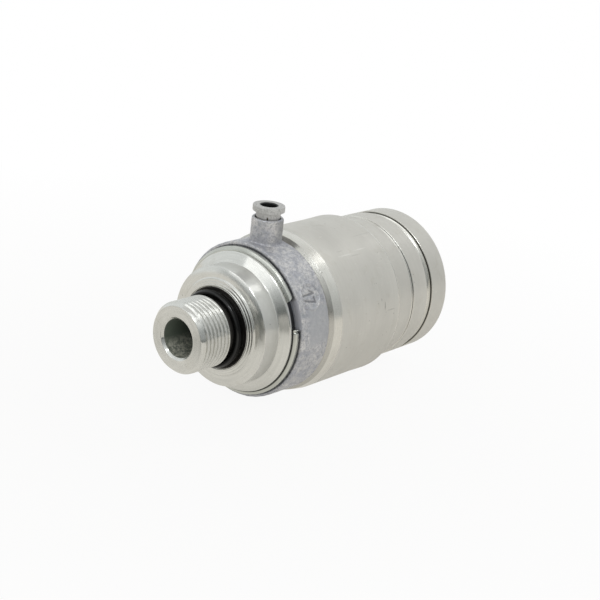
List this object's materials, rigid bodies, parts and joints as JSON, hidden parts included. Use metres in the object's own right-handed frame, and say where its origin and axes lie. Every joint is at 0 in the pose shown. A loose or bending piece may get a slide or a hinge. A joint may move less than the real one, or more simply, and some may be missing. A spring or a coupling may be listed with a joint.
{
  "type": "hydraulic quick coupler",
  "caption": "Push-pull hydraulic quick coupler socket with a threaded port stud, a swivelling leak-oil ring with a push-in drain spigot, a ball lock and a spring-loaded poppet valve.",
  "frame": {"origin": "on the coupler's axis, in the plane where the hub's seat ridges meet the valve block", "axes": "+X along the coupler's axis from the port stud to the socket's mouth, +Z along the drain spigot"},
  "size_m": [0.1035, 0.0522, 0.0616],
  "materials": {
    "plated_steel": "turned steel with pale trivalent zinc plating",
    "cast_alloy": "die-cast, mottled blue-grey",
    "snap_steel": "bright spring steel",
    "ball_steel": "polished",
    "brass": "turned",
    "pale_plastic": "moulded, satin",
    "black_rubber": "satin"
  },
  "bodies": {
    "coupler_body": {"port_adapter": "plated_steel", "stud_o_ring": "black_rubber", "retaining_ring": "snap_steel", "drain_seal_front": "black_rubber", "drain_seal_rear": "black_rubber", "housing": "plated_steel", "housing_seal": "black_rubber", "end_sleeve": "plated_steel", "wiper_seal": "black_rubber", "front_snap_ring": "snap_steel", "lock_ring": "snap_steel", "carrier_tail_seal": "black_rubber", "carrier_backup_ring": "pale_plastic", "rear_spring": "snap_steel", "front_spring": "snap_steel"},
    "drain_swivel": {"drain_ring": "cast_alloy", "drain_grip_ring": "brass", "drain_tube_seal": "black_rubber"},
    "release_collet": {"drain_collet": "pale_plastic"},
    "carrier": {"socket_carrier": "plated_steel", "lock_balls": "ball_steel", "probe_seal": "black_rubber", "probe_backup_ring": "pale_plastic", "valve_guide": "plated_steel", "guide_snap_ring": "snap_steel", "valve_spring": "snap_steel"},
    "valve": {"valve_poppet": "plated_steel", "poppet_seal": "black_rubber"}
  },
  "joints": [
    {"name": "drain_turn", "type": "hinge", "parent": "coupler_body", "child": "drain_swivel", "pos_m": [0.01925, 0, 0], "axis": [1, 0, 0], "continuous": true},
    {"name": "collet_press", "type": "slide", "parent": "drain_swivel", "child": "release_collet", "axis": [0, 0, -1], "range_m": [0, 0.0012]},
    {"name": "carrier_slide", "type": "slide", "parent": "coupler_body", "child": "carrier", "axis": [1, 0, 0], "range_m": [-0.005, 0.005], "stiffness_N_per_m": 6000, "deforming": ["rear_spring", "front_spring"]},
    {"name": "valve_push", "type": "slide", "parent": "carrier", "child": "valve", "axis": [-1, 0, 0], "range_m": [0, 0.007], "stiffness_N_per_m": 2500, "springref_m": -0.004, "deforming": ["valve_spring"]}
  ]
}
